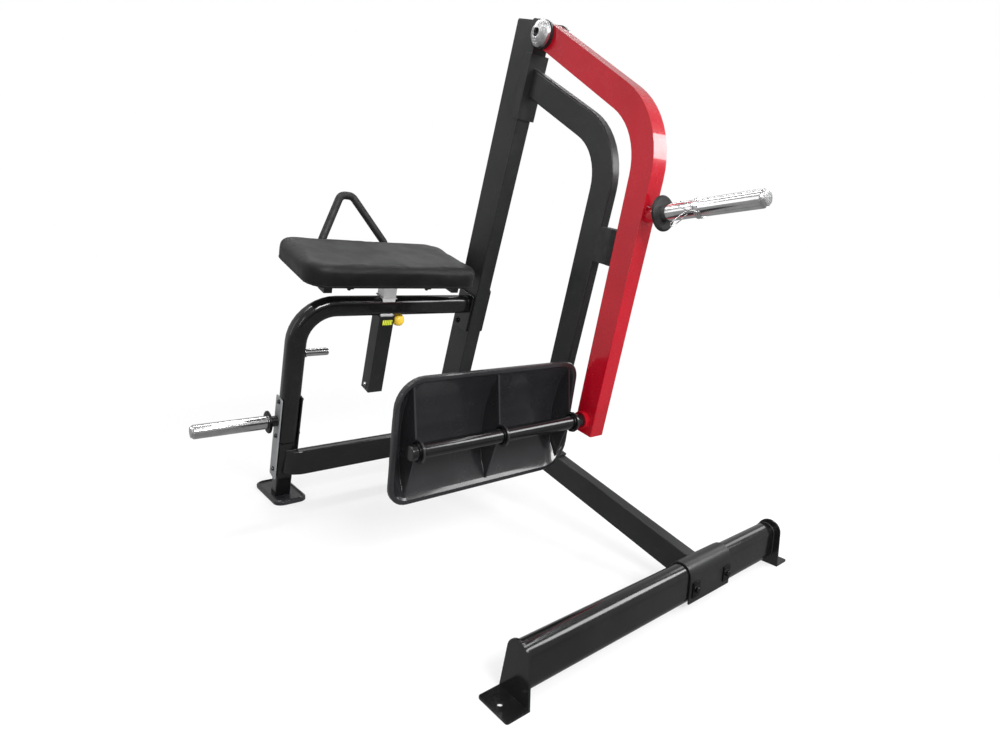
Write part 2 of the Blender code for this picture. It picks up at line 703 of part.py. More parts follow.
def pivot_parts():
    """Shaft and domed caps at the top of the upright."""
    x0, x1 = UP_X0 - GAP - 10, UP_X1 + GAP + 10
    add("pivot_shaft", rod((x0, PIVOT.y, PIVOT.z), (1, 0, 0), 15, x1 - x0), "steel",
        smooth=True)
    profile = [(0, 0), (41, 0), (43, 2), (43, 11), (41, 14), (33, 21), (22, 27.5), (15, 30),
               (13.5, 29), (13.5, 18), (0, 18)]
    for name, x, s in (("pivot_cap_left", x0 - GAP, -1), ("pivot_cap_right", x1 + GAP, 1)):
        add(name, lathe((x, PIVOT.y, PIVOT.z), (s, 0, 0), profile, 40), "steel", smooth=True)


def swing_arm():
    pivot, corner, lower = arm_lines()
    outline = bent_outline(pivot, corner, lower, ARM_D, ARM_R, segs=10)
    up = Vector(corner) - Vector(pivot)
    start = math.atan2(up[1], up[0]) + math.pi / 2
    arc = []
    for k in range(1, 12):
        t = start + math.pi * k / 12
        arc.append((pivot[0] + ARM_D / 2 * math.cos(t), pivot[1] + ARM_D / 2 * math.sin(t)))
    first = Vector(outline[-1])
    if (first - Vector(arc[0])).length > (first - Vector(arc[-1])).length:
        arc = arc[::-1]
    outline = outline + arc
    half = (len(outline) - len(arc)) // 2
    bm = prism(outline, ARM_X0, ARM_X1, yz, (half - 1,), 5)
    arm = add("swing_arm", bm, "arm_red", PIVOT, True)
    bore = rod((ARM_X0 - 10, PIVOT.y, PIVOT.z), (1, 0, 0), 26, 90, 32)
    tube = rod((ARM_X0 - 10, *FOOT_AXIS), (1, 0, 0), 23.0, 90, 32)
    horn, left, right = horn_stem(), tube_collar(ARM_X0 - 17, 19), tube_collar(ARM_X1 - 2, 14)
    boolean(arm, [add("cut_bore", bore, "steel"), add("cut_tube", tube, "steel")])
    boolean(arm, [horn, left, right], "UNION")
    for name, x in (("pivot_bearing_left", ARM_X0 + 0.5), ("pivot_bearing_right", ARM_X1 - 15.5)):
        add(name, ring((x, PIVOT.y, PIVOT.z), (1, 0, 0), 15.4, 25.6, 15), "steel", PIVOT, True)


def tube_collar(x, length):
    """Welded barrel round the foot tube."""
    return add("cut_collar", ring((x, *FOOT_AXIS), (1, 0, 0), 23.0, 30, length, 32), "arm_red")


def foot_tube():
    """Cross tube fixed through the arm; the kick plate turns on it."""
    y, z = FOOT_AXIS
    add("foot_tube", rod((-707, y, z), (1, 0, 0), 22.5, 707 + ARM_X1 + 14, 32, 2),
        "frame_gloss_black", PIVOT, True)


HORN_DIR = Vector((0, -0.9965, 0.083)).normalized()
HORN_DISC = Vector((-1.0, 242.0, 1102.0))


def horn_stem():
    """Welded root of the weight horn."""
    return add("cut_stem", rod(HORN_DISC - HORN_DIR * 75, HORN_DIR, 22, 75, 32), "arm_red")


def weight_horn():
    """Rubber disc and plated sleeve on the horn root."""
    profile = [(0, 0), (47, 0), (52, 3), (52, 9), (47, 13), (0, 13)]
    add("weight_horn_flange", lathe(HORN_DISC + HORN_DIR * GAP, HORN_DIR, profile, 40),
        "rubber", PIVOT, True)
    profile = [(0, 0), (HORN_D / 2, 0), (HORN_D / 2, 296), (HORN_D / 2 - 3, 300), (20, 301),
               (20, 308), (19, 309), (0, 309)]
    start = HORN_DISC + HORN_DIR * (13 + 2 * GAP)
    add("weight_horn_sleeve", lathe(start, HORN_DIR, profile, 40), "chrome", PIVOT, True)


def handle(root, reach, half):
    """Wire loop from its free end, round the tip, back to the coil."""
    tip = root + reach
    near = root + reach * 0.3
    return [near + half, root + reach * 0.6 + half * 1.1, tip + half * 0.8,
            tip + reach.normalized() * 6, tip - half * 0.8, root + reach * 0.55 - half * 0.7,
            root + reach * 0.2 - half * 0.1]


def spring_clip():
    """Coiled wire clip around the horn, with two squeeze handles."""
    center = HORN_DISC + HORN_DIR * 128
    x, y, z = basis(HORN_DIR)
    r, wire, pitch, turns, steps = HORN_D / 2 + 3.0, 1.8, 6.0, 2.95, 22
    pts = []
    total = int(turns * steps)
    for k in range(total + 1):
        t = math.pi - 2 * math.pi * k / steps
        h = pitch * k / steps - pitch * turns / 2
        pts.append(center + x * (r * math.cos(t)) + y * (r * math.sin(t)) + z * h)
    first, last = pts[0], pts[-1]
    low = handle(first, Vector((-34, 0, 0)) - y * 44 - z * 38, x * 9 - y * 3)
    high = handle(last, Vector((-30, 0, 0)) + y * 26 - z * 40, y * 9 + x * 5)
    pts = low + pts + high[::-1]
    add("spring_clip", sweep(pts, wire, 8), "chrome", center, True)


# --- kick plate -------------------------------------------------------------

FOOT_N = Vector((0, math.cos(deg(FOOT_TILT)), -math.sin(deg(FOOT_TILT))))
FOOT_U = Vector((0, math.sin(deg(FOOT_TILT)), math.cos(deg(FOOT_TILT))))


def on_plate(x, off, u):
    return Vector((x, *FOOT_AXIS)) + FOOT_N * off + FOOT_U * u


# inset in x, inset in u, depth from the tube axis
DISH_FRONT = ((36, 160, 98), (28, 120, 92), (22, 70, 78), (18, 24, 53), (14, 14, 45))
RIM = ((11, 11, 43), (3, 3, 43), (0, 0, 46), (0, 0, 57), (4, 4, 60))
DISH_BACK = ((13, 22, 60), (17, 68, 84), (23, 118, 98), (31, 158, 104))
CORNERS = (62, 95, 62, 88)


def dish_loop(bm, dx, du, off):
    """Rounded rectangle of the plate outline, inset and set to a depth."""
    x0, x1, u0, u1 = PLATE_X0 + dx, PLATE_X1 - dx, PLATE_U0 + du, PLATE_U1 - du
    radii = [max(12, r - (dx + du) / 2) for r in CORNERS]
    pts = rounded([(x0, u0), (x1, u0), (x1, u1), (x0, u1)], radii, 8)
    return [bm.verts.new(on_plate(x, off, u)) for x, u in pts]


def loft(specs):
    """Closed solid through a series of plate loops."""
    bm = bmesh.new()
    loops = [dish_loop(bm, *spec) for spec in specs]
    for a, b in zip(loops, loops[1:]):
        join_rings(bm, a, b, len(a))
    bm.faces.new(loops[0])
    bm.faces.new(loops[-1][::-1])
    return bm


def kick_plate():
    """Dished plate with three webs that hang it on the foot tube."""
    axis = Vector((0, *FOOT_AXIS))
    plate = add("kick_plate", loft(DISH_FRONT + RIM + DISH_BACK), "frame_gloss_black", axis,
                True)
    webs = []
    bores = []
    behind = [(dx, du, off + 2.5) for dx, du, off in DISH_FRONT] + [(-20, -20, 52),
                                                                    (-20, -20, 200)]
    for x, top, low in ((-678, 172, 168), (-386, 176, 165), (-88, 172, 150)):
        web = add("cut_web", gusset(x, top, low), "steel")
        webs.append(boolean(web, [add("cut_behind", loft(behind), "steel")]))
        bores.append(add("cut_bore", rod((x - 30, *FOOT_AXIS), (1, 0, 0), 27.5, 60, 32), "steel"))
    boolean(plate, webs, "UNION")
    boolean(plate, bores)
    for name, x in (("plate_bush_left", -678), ("plate_bush_mid", -386),
                    ("plate_bush_right", -88)):
        add(name, ring((x - 9, *FOOT_AXIS), (1, 0, 0), 22.9, 27.1, 18, 32), "bolt_black", axis,
            True)


def gusset(x, top, low):
    """Web from the dish floor to a round eye on the tube."""
    pts = [(50.0, -low), (120.0, -low + 30), (120.0, top - 30), (50.0, top)]
    for k in range(9):
        t = deg(60) + deg(240) * k / 8
        pts.append((34 * math.cos(t), 34 * math.sin(t)))
    return prism(pts, x - 3, x + 3, lambda p, q, t: on_plate(t, p, q))


def build():
    for obj in list(bpy.data.objects):
        bpy.data.objects.remove(obj, do_unlink=True)
    cross_member()
    floor_bracket("floor_bracket_left", CROSS_X0 - GAP, -1)
    floor_bracket("floor_bracket_right", CROSS_X1 + GAP, 1)
    saddle_plate()
    spine()
    upright()
    foot_pad("foot_pad_left", -726.0)
    foot_pad("foot_pad_right", -2.0)
    lower_post()
    splice()
    storage_horn()
    accessory_peg()
    front_beam()
    seat_frame()
    height_sleeve()
    height_post()
    pad_group()
    grip_loop()
    pull_pin()
    arch()
    stop_block()
    pivot_parts()
    swing_arm()
    foot_tube()
    weight_horn()
    spring_clip()
    kick_plate()


build()
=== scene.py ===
"""Look of the plate-loaded standing rear-kick machine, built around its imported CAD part."""
import math

import bmesh
import bpy
import numpy as np
from mathutils import Matrix, Vector


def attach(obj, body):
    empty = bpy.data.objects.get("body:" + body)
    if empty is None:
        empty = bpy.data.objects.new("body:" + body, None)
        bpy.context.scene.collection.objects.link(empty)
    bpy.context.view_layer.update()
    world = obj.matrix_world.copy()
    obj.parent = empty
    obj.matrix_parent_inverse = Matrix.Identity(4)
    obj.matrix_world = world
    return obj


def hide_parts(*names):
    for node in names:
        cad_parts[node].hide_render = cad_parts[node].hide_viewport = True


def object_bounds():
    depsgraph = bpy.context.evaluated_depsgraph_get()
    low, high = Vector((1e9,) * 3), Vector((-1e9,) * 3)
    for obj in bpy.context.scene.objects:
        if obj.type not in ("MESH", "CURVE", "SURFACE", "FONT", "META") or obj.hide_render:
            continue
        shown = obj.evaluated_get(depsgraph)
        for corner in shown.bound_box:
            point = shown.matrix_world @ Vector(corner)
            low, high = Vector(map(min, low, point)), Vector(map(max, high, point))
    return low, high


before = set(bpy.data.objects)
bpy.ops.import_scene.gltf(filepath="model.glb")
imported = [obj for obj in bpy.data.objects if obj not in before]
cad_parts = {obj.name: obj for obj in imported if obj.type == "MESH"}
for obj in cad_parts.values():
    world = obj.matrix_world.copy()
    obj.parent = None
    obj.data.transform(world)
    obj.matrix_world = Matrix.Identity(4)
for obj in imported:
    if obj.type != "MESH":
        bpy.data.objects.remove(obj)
cad_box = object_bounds()

# --- working frame of the part (millimetres) to the row frame (metres) ------

SHIFT = Vector((317.625, -745.92, 0.0))
FRAME_Y = 1413.4                      # where the tilted frame's axis meets the floor
TILT = math.radians(18.12)
TV = Vector((0, math.cos(TILT), math.sin(TILT)))
TW = Vector((0, -math.sin(TILT), math.cos(TILT)))


def row(x, y, z):
    return (Vector((x, y, z)) + SHIFT) * 0.001


def tilted(x, v, w):
    return row(x, FRAME_Y + v * TV.y + w * TW.y, v * TV.z + w * TW.z)


FOOT_Y, FOOT_Z = 468.0, 432.0         # axis of the foot tube
F_TILT = math.radians(-8)             # lean of the kick plate
F_N = Vector((0, math.cos(F_TILT), -math.sin(F_TILT)))
F_U = Vector((0, math.sin(F_TILT), math.cos(F_TILT)))


def on_plate(x, off, u):
    """A point of the kick plate: off from the foot tube's axis, u up the plate."""
    return row(x, FOOT_Y + F_N.y * off + F_U.y * u, FOOT_Z + F_N.z * off + F_U.z * u)


# --- material nodes ---------------------------------------------------------

class Shader:
    """A Principled material with its object coordinates and a few node helpers."""

    def __init__(self, name, **sockets):
        self.mat = bpy.data.materials.new(name)
        self.mat.use_nodes = True
        self.nt = self.mat.node_tree
        self.bsdf = self.nt.nodes["Principled BSDF"]
        self.co = self.nt.nodes.new("ShaderNodeTexCoord").outputs["Object"]
        for key, value in sockets.items():
            self.bsdf.inputs[key.replace("_", " ")].default_value = value

    def node(self, kind, **props):
        n = self.nt.nodes.new(kind)
        for key, value in props.items():
            setattr(n, key, value)
        return n

    def link(self, a, b):
        self.nt.links.new(a, b)

    def stretch(self, scale, rotation=(0, 0, 0)):
        m = self.node("ShaderNodeMapping")
        m.inputs["Scale"].default_value = scale
        m.inputs["Rotation"].default_value = rotation
        self.link(self.co, m.inputs["Vector"])
        return m.outputs["Vector"]

    def noise(self, scale, detail=3.0, rough=0.55, co=None, distortion=0.0):
        n = self.node("ShaderNodeTexNoise")
        n.inputs["Scale"].default_value = scale
        n.inputs["Detail"].default_value = detail
        n.inputs["Roughness"].default_value = rough
        n.inputs["Distortion"].default_value = distortion
        self.link(co or self.co, n.inputs["Vector"])
        return n.outputs["Fac"]

    def voronoi(self, scale, feature="F1"):
        n = self.node("ShaderNodeTexVoronoi", feature=feature)
        n.inputs["Scale"].default_value = scale
        self.link(self.co, n.inputs["Vector"])
        return n.outputs["Distance"]

    def remap(self, fac, a, b, lo, hi):
        n = self.node("ShaderNodeMapRange", interpolation_type="SMOOTHSTEP")
        for key, value in (("From Min", a), ("From Max", b), ("To Min", lo), ("To Max", hi)):
            n.inputs[key].default_value = value
        self.link(fac, n.inputs["Value"])
        return n.outputs["Result"]

    def math(self, op, a, b):
        n = self.node("ShaderNodeMath", operation=op)
        for socket, value in zip(n.inputs, (a, b)):
            if isinstance(value, (int, float)):
                socket.default_value = value
            else:
                self.link(value, socket)
        return n.outputs["Value"]

    def mix(self, fac, a, b):
        n = self.node("ShaderNodeMix", data_type="RGBA")
        self.link(fac, n.inputs["Factor"])
        for socket, value in ((n.inputs[6], a), (n.inputs[7], b)):
            if isinstance(value, tuple):
                socket.default_value = (*value, 1)
            else:
                self.link(value, socket)
        return n.outputs[2]

    def bump(self, height, strength, distance, normal=None):
        n = self.node("ShaderNodeBump")
        n.inputs["Strength"].default_value = strength
        n.inputs["Distance"].default_value = distance
        self.link(height, n.inputs["Height"])
        if normal:
            self.link(normal, n.inputs["Normal"])
        return n.outputs["Normal"]

    def set(self, **sockets):
        for key, out in sockets.items():
            self.link(out, self.bsdf.inputs[key.replace("_", " ")])
        return self.mat


def painted(name, dark, light, rough, peel, scuff, coat=0.0, coat_rough=0.08, level=0.5,
            dust=0.3):
    """Powder coat or paint: orange peel, faint tone drift, dust and hairline scuffs."""
    s = Shader(name, Coat_Weight=coat, Coat_Roughness=coat_rough, Specular_IOR_Level=level)
    tone = s.remap(s.noise(5.0, 4.0), 0.3, 0.7, 0.0, 1.0)
    color = s.mix(tone, dark, light)
    haze = s.remap(s.noise(38.0, 8.0, 0.7), 0.5, 0.78, 0.0, dust)
    speck = tuple(min(1.0, c * 1.5 + 0.012) for c in light)
    color = s.mix(haze, color, speck)
    fine = s.noise(16.0, 7.0, 0.65)
    roughness = s.remap(fine, 0.3, 0.75, rough[0], rough[1])
    hair = s.noise(9.0, 6.0, 0.8, s.stretch((1.0, 1.0, 24.0), (0.5, 0.3, 0.2)))
    mark = s.remap(hair, 0.68, 0.74, 0.0, scuff)
    color = s.mix(mark, color, tuple(min(1.0, c * 2.2 + 0.03) for c in light))
    roughness = s.math("ADD", roughness, s.math("MULTIPLY", mark, 0.35))
    waves = s.noise(85.0, 2.0)
    grain = s.noise(peel[0], 2.0, 0.5)
    normal = s.bump(waves, 0.06, 0.002)
    normal = s.bump(grain, peel[1], 0.0006, normal)
    return s.set(Base_Color=color, Roughness=roughness, Normal=normal)


def metal(name, dark, light, rough, brushed, strength=0.12):
    """Plated or bare metal: fine directional scratches, cloudy roughness, faint tarnish."""
    s = Shader(name, Metallic=1.0)
    cloud = s.noise(22.0, 6.0, 0.65)
    color = s.mix(s.remap(cloud, 0.35, 0.7, 0.0, 1.0), light, dark)
    hair = s.noise(60.0, 6.0, 0.75, s.stretch(brushed))
    roughness = s.remap(s.math("ADD", s.math("MULTIPLY", cloud, 0.6),
                               s.math("MULTIPLY", hair, 0.4)), 0.3, 0.7, rough[0], rough[1])
    normal = s.bump(hair, strength, 0.0003)
    return s.set(Base_Color=color, Roughness=roughness, Normal=normal)


def red_paint():
    """Clear-coated red with a fine fleck."""
    s = Shader("arm_red_paint", Coat_Weight=0.8, Coat_Roughness=0.03, Specular_IOR_Level=0.3)
    tone = s.remap(s.noise(4.0, 3.0), 0.3, 0.7, 0.0, 1.0)
    color = s.mix(tone, (0.36, 0.0018, 0.010), (0.42, 0.0028, 0.014))
    fleck = s.remap(s.voronoi(2600.0), 0.0, 0.35, 0.10, 0.0)
    color = s.mix(fleck, color, (0.55, 0.012, 0.022))
    rough = s.remap(s.noise(30.0, 6.0), 0.3, 0.75, 0.2, 0.32)
    normal = s.bump(s.noise(45.0, 1.0), 0.02, 0.002)
    normal = s.bump(s.noise(520.0, 1.0), 0.015, 0.0004, normal)
    s.link(normal, s.bsdf.inputs["Coat Normal"])
    return s.set(Base_Color=color, Roughness=rough, Normal=normal)


def vinyl(name, dark=(0.0022, 0.0022, 0.0024), light=(0.0045, 0.0045, 0.0048)):
    """Black upholstery vinyl: pebble grain, pores and soft creases, with painted shade darkening
    the crease hollows.
    """
    s = Shader(name, Specular_IOR_Level=0.34, Sheen_Weight=0.03, Sheen_Roughness=0.5)
    pebble = s.voronoi(620.0, "SMOOTH_F1")
    fine = s.noise(1900.0, 2.0)
    crease_and_shade = s.noise(26.0, 5.0, 0.6, distortion=0.6)
    # colour follows the crease relief: a random tone, plus painted shade that makes the crease
    # hollows darker than the ridges
    color = s.mix(s.remap(crease_and_shade, 0.3, 0.7, 0.0, 1.0), dark, light)
    color = s.mix(s.remap(pebble, 0.0, 0.5, 0.5, 0.0), color, tuple(c * 1.35 for c in light))
    rough = s.remap(s.noise(11.0, 5.0), 0.3, 0.72, 0.44, 0.58)
    normal = s.bump(crease_and_shade, 0.10, 0.003)
    normal = s.bump(pebble, 0.28, 0.0006, normal)
    normal = s.bump(fine, 0.12, 0.0002, normal)
    return s.set(Base_Color=color, Roughness=rough, Normal=normal)


def rubber():
    """Matt black rubber with a fine grain."""
    s = Shader("rubber_black", Specular_IOR_Level=0.3)
    color = s.mix(s.remap(s.noise(40.0, 7.0, 0.7), 0.35, 0.75, 0.0, 1.0),
                  (0.008, 0.008, 0.009), (0.022, 0.022, 0.022))
    rough = s.remap(s.noise(20.0, 5.0), 0.3, 0.7, 0.5, 0.72)
    normal = s.bump(s.noise(900.0, 3.0), 0.25, 0.0005)
    return s.set(Base_Color=color, Roughness=rough, Normal=normal)


def moulded(name, dark, light, rough, grain=0.2):
    """Moulded plastic with a pebbled grain."""
    s = Shader(name, Specular_IOR_Level=0.5)
    color = s.mix(s.remap(s.noise(30.0, 5.0), 0.3, 0.7, 0.0, 1.0), dark, light)
    roughness = s.remap(s.noise(45.0, 5.0), 0.3, 0.7, rough[0], rough[1])
    normal = s.bump(s.voronoi(1500.0), grain, 0.0003)
    return s.set(Base_Color=color, Roughness=roughness, Normal=normal)


def wood():
    """Board edge: alternating plies with a little grain."""
    s = Shader("plywood_board")
    w = s.node("ShaderNodeTexWave", wave_type="BANDS", bands_direction="Z")
    w.inputs["Scale"].default_value = 90.0
    w.inputs["Distortion"].default_value = 0.6
    w.inputs["Detail"].default_value = 2.0
    s.link(s.stretch((1, 1, 1), (-TILT, 0, 0)), w.inputs["Vector"])
    ply = s.mix(w.outputs["Fac"], (0.016, 0.011, 0.008), (0.05, 0.034, 0.022))
    grain = s.noise(120.0, 6.0, 0.6, s.stretch((0.2, 3.0, 3.0)))
    color = s.mix(s.remap(grain, 0.35, 0.7, 0.0, 0.45), ply, (0.012, 0.009, 0.007))
    rough = s.remap(grain, 0.3, 0.7, 0.55, 0.75)
    return s.set(Base_Color=color, Roughness=rough, Normal=s.bump(grain, 0.3, 0.0006))


def label():
    """Generic index sticker: a yellow-green field with plain bars, no lettering."""
    s = Shader("index_sticker", Specular_IOR_Level=0.5)
    w = s.node("ShaderNodeTexWave", wave_type="BANDS", bands_direction="X")
    w.inputs["Scale"].default_value = 42.0
    s.link(s.co, w.inputs["Vector"])
    bars = s.remap(w.outputs["Fac"], 0.80, 0.86, 0.0, 1.0)
    tone = s.mix(s.remap(s.noise(60.0, 4.0), 0.3, 0.7, 0.0, 1.0), (0.52, 0.60, 0.02),
                 (0.68, 0.74, 0.05))
    color = s.mix(bars, tone, (0.12, 0.13, 0.02))
    rough = s.remap(s.noise(80.0, 4.0), 0.3, 0.7, 0.28, 0.42)
    return s.set(Base_Color=color, Roughness=rough, Normal=s.bump(bars, 0.1, 0.0002))


CHARCOAL = painted("charcoal_powder_coat", (0.009, 0.0092, 0.0097), (0.0145, 0.0148, 0.0155),
                   (0.28, 0.40), (900.0, 0.16), scuff=0.10, coat_rough=0.1)
BLACK = painted("gloss_black_paint", (0.004, 0.004, 0.0045), (0.0075, 0.0074, 0.0082),
                (0.12, 0.22), (420.0, 0.09), scuff=0.08, coat=0.35, coat_rough=0.04)
DISH = painted("kick_plate_paint", (0.014, 0.0138, 0.0155), (0.021, 0.0205, 0.0228),
               (0.20, 0.29), (500.0, 0.08), scuff=0.03, coat=0.45, coat_rough=0.07, dust=0.1)
FEET = moulded("foot_moulding", (0.016, 0.015, 0.018), (0.030, 0.029, 0.033), (0.22, 0.36), 0.1)
GRIP = moulded("grip_sleeve", (0.006, 0.006, 0.0065), (0.011, 0.011, 0.0115), (0.5, 0.65), 0.25)
RED = red_paint()
CHROME = metal("polished_chrome", (0.72, 0.72, 0.73), (0.88, 0.88, 0.89), (0.06, 0.16),
               (1.0, 14.0, 14.0), 0.08)
ZINC = metal("zinc_plated_steel", (0.42, 0.42, 0.43), (0.62, 0.62, 0.63), (0.25, 0.42),
             (3.0, 3.0, 12.0), 0.2)
BOLT = metal("blackened_steel", (0.015, 0.015, 0.017), (0.05, 0.05, 0.052), (0.22, 0.4),
             (4.0, 4.0, 9.0), 0.15)
# Height post and guide collar as light grey non-metal paint. Their bright tone is partly the
# plating's own silver and partly a painted reflection, which keeps every face bright where
# plated metal would mirror dark surroundings.
PLATING_PAINTED_REFLECTION = painted("satin_plating_painted_reflection", (0.56, 0.56, 0.56), (0.68, 0.68, 0.68), (0.2, 0.32),
                 (700.0, 0.08), scuff=0.12, coat=0.3, coat_rough=0.1, level=0.8)
SATIN = metal("satin_aluminium", (0.50, 0.50, 0.51), (0.72, 0.72, 0.73), (0.28, 0.42),
              (9.0, 2.0, 9.0), 0.35)
SILVER = painted("silver_grey_paint", (0.20, 0.205, 0.21), (0.27, 0.275, 0.28), (0.3, 0.42),
                 (700.0, 0.14), scuff=0.15)
RUBBER = rubber()
PLASTIC = moulded("black_moulding", (0.008, 0.008, 0.009), (0.016, 0.016, 0.017), (0.38, 0.55))
YELLOW = moulded("yellow_moulding", (0.80, 0.52, 0.035), (0.90, 0.63, 0.07), (0.25, 0.4), 0.08)
STICKER = label()
VINYL = vinyl("pad_vinyl")
PIPING = vinyl("pad_piping", (0.003, 0.003, 0.0035), (0.006, 0.006, 0.0065))
WOOD = wood()
SLOTS = {"frame_charcoal": CHARCOAL, "frame_gloss_black": BLACK, "arm_red": RED,
         "chrome": CHROME, "steel": ZINC, "zinc_grey": SILVER, "rubber": RUBBER,
         "plastic_black": PLASTIC, "yellow": YELLOW, "label": STICKER, "vinyl": VINYL,
         "plywood": WOOD, "bolt_black": BOLT}
SPECIAL = {"kick_plate": DISH, "height_post": PLATING_PAINTED_REFLECTION, "guide_collar": PLATING_PAINTED_REFLECTION,
           "grip_loop": GRIP, "foot_pad_left": FEET, "foot_pad_right": FEET,
           "pivot_cap_left": SATIN, "pivot_cap_right": SATIN}

# --- CAD nodes: finish, softened edges, even normals ------------------------

# width of the softened edge for each slot, in millimetres
BEVEL = {"frame_charcoal": 1.4, "frame_gloss_black": 1.6, "arm_red": 1.2, "chrome": 0.7,
         "steel": 0.5, "zinc_grey": 0.8, "rubber": 1.2, "plastic_black": 1.0, "yellow": 0.8,
         "label": 0.3, "vinyl": 1.0, "plywood": 0.6, "bolt_black": 0.5}


def shade_smooth(mesh):
    mesh.polygons.foreach_set("use_smooth", [True] * len(mesh.polygons))


def dress(obj):
    slot = obj.data.materials[0].name.split(".")[0]
    obj.data.materials[0] = SPECIAL.get(obj.name, SLOTS[slot])
    shade_smooth(obj.data)
    if obj.data.has_custom_normals:
        obj.data.attributes.remove(obj.data.attributes["custom_normal"])
    weld = obj.modifiers.new("weld", "WELD")
    weld.merge_threshold = 1e-5
    flat = obj.modifiers.new("flat", "DECIMATE")
    flat.decimate_type = "DISSOLVE"
    flat.angle_limit = math.radians(0.6)
    edge = obj.modifiers.new("edge", "BEVEL")
    edge.width = BEVEL[slot] * 0.001
    edge.segments = 2
    edge.limit_method = "ANGLE"
    edge.angle_limit = math.radians(34)
    edge.use_clamp_overlap = True
    even = obj.modifiers.new("even", "WEIGHTED_NORMAL")
    even.mode = "FACE_AREA"
    even.weight = 60
    even.keep_sharp = False


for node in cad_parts.values():
    dress(node)

# --- helpers for added pieces -----------------------------------------------


def piece(name, bm, material, body):
    mesh = bpy.data.meshes.new(name)
    bmesh.ops.recalc_face_normals(bm, faces=bm.faces)
    bm.to_mesh(mesh)
    bm.free()
    shade_smooth(mesh)
    obj = bpy.data.objects.new(name, mesh)
    mesh.materials.append(material)
    bpy.context.scene.collection.objects.link(obj)
    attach(obj, body)
    return obj


def resample(points, step, closed):
    """Evenly spaced points along a path, each with its distance, and the path's length."""
    pts = [Vector(p) for p in points] + ([Vector(points[0])] if closed else [])
    lengths = [0.0]
    for a, b in zip(pts, pts[1:]):
        lengths.append(lengths[-1] + (b - a).length)
    n = max(4, int(lengths[-1] / step))
    out = []
    k = 0
    for i in range(n if closed else n + 1):
        d = lengths[-1] * i / n
        while k < len(pts) - 2 and lengths[k + 1] < d:
            k += 1
        t = (d - lengths[k]) / max(1e-9, lengths[k + 1] - lengths[k])
        out.append((pts[k].lerp(pts[k + 1], t), d))
    return out, lengths[-1]


WOBBLE = 731.0                        # unevenness of a weld along its length, radians per metre


def tube(points, radius, closed, sides, step, ripple=0.0, pitch=1.0):
    """Swept bead along points; ripple gives the overlapping scales of a weld."""
    pts, total = resample(points, step, closed)
    n = len(pts)
    bm = bmesh.new()
    rings = []
    up = None
    for i, (p, d) in enumerate(pts):
        a = pts[(i - 1) % n][0] if closed or i else p
        b = pts[(i + 1) % n][0] if closed or i < n - 1 else p
        t = (b - a).normalized()
        if up is None:
            up = t.orthogonal().normalized()
        up = (up - t * up.dot(t)).normalized()
        side = t.cross(up)
        phase = (d / pitch) % 1.0
        r = radius * (1 - ripple * phase * phase) * (1 + ripple * 0.25 * math.sin(d * WOBBLE))
        if not closed:
            r *= min(1.0, 0.35 + min(d, total - d) / (radius * 2.5))
        rings.append([bm.verts.new(p + up * (r * math.cos(2 * math.pi * j / sides))
                                   + side * (r * math.sin(2 * math.pi * j / sides)))
                      for j in range(sides)])
    for i in range(n if closed else n - 1):
        a, b = rings[i], rings[(i + 1) % n]
        for j in range(sides):
            bm.faces.new((a[j], a[(j + 1) % sides], b[(j + 1) % sides], b[j]))
    if not closed:
        bm.faces.new(rings[0])
        bm.faces.new(rings[-1][::-1])
    return bm


PLANE_TOLERANCE = 3e-4
LIFT = 0.0002                         # how far a bead stands out from the outline it follows


def end_loop(node, point, normal):
    """Outline of a CAD node where it lies in a plane, in order round its middle."""
    n = normal.normalized()
    seen = {}
    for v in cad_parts[node].data.vertices:
        if abs((v.co - point).dot(n)) < PLANE_TOLERANCE:
            seen[tuple(round(c, 5) for c in v.co)] = v.co.copy()
    pts = list(seen.values())
    if len(pts) < 3:
        return None
    mid = sum(pts, Vector()) / len(pts)
    e1 = n.orthogonal().normalized()
    e2 = n.cross(e1)
    pts.sort(key=lambda p: math.atan2((p - mid).dot(e2), (p - mid).dot(e1)))
    return [p + (p - mid).normalized() * LIFT for p in pts]


def bead(points, radius, closed):
    return tube(points, radius, closed, sides=8, step=0.0014, ripple=0.28, pitch=0.0046)


def weld_loop(name, node, point, normal, material, body, radius):
    loop = end_loop(node, point, normal)
    if loop is None:
        print("no weld loop:", name)
        return
    piece(name, bead(loop, radius, True), material, body)


def weld_line(name, points, material, body, radius):
    piece(name, bead(points, radius, False), material, body)


# --- weld beads -------------------------------------------------------------

X_AXIS, Z_AXIS = Vector((1, 0, 0)), Vector((0, 0, 1))
CROSS_LEFT, CROSS_RIGHT, CROSS_Z = -709.6, 368.4, 74      # ends of the cross member
FRONT_BEAM_V = -25.35                                     # its end on the seat frame
SLEEVE_TOP = 774.65                                       # underside of the seat beam
weld_loop("weld_front_beam", "front_beam", tilted(0, FRONT_BEAM_V, 0), TV, BLACK, "base",
          0.0034)
weld_loop("weld_bracket_left", "cross_member", row(CROSS_LEFT, 0, CROSS_Z), X_AXIS, CHARCOAL,
          "base", 0.0026)
weld_loop("weld_bracket_right", "cross_member", row(CROSS_RIGHT, 0, CROSS_Z), X_AXIS, CHARCOAL,
          "base", 0.0026)
weld_loop("weld_height_sleeve", "height_sleeve", tilted(0, 0, SLEEVE_TOP), TW, CHARCOAL,
          "base", 0.0028)

# section of the dish: distance in from its rim, depth from the foot tube's axis
DISH_SHAPE = ((14, 45), (24, 53), (70, 78), (120, 92), (160, 98))
PLATE_LOW, PLATE_HIGH = -187.0, 196.0
DISH_STEPS = 6
SINK = 0.6                            # how far a bead is sunk into the dish


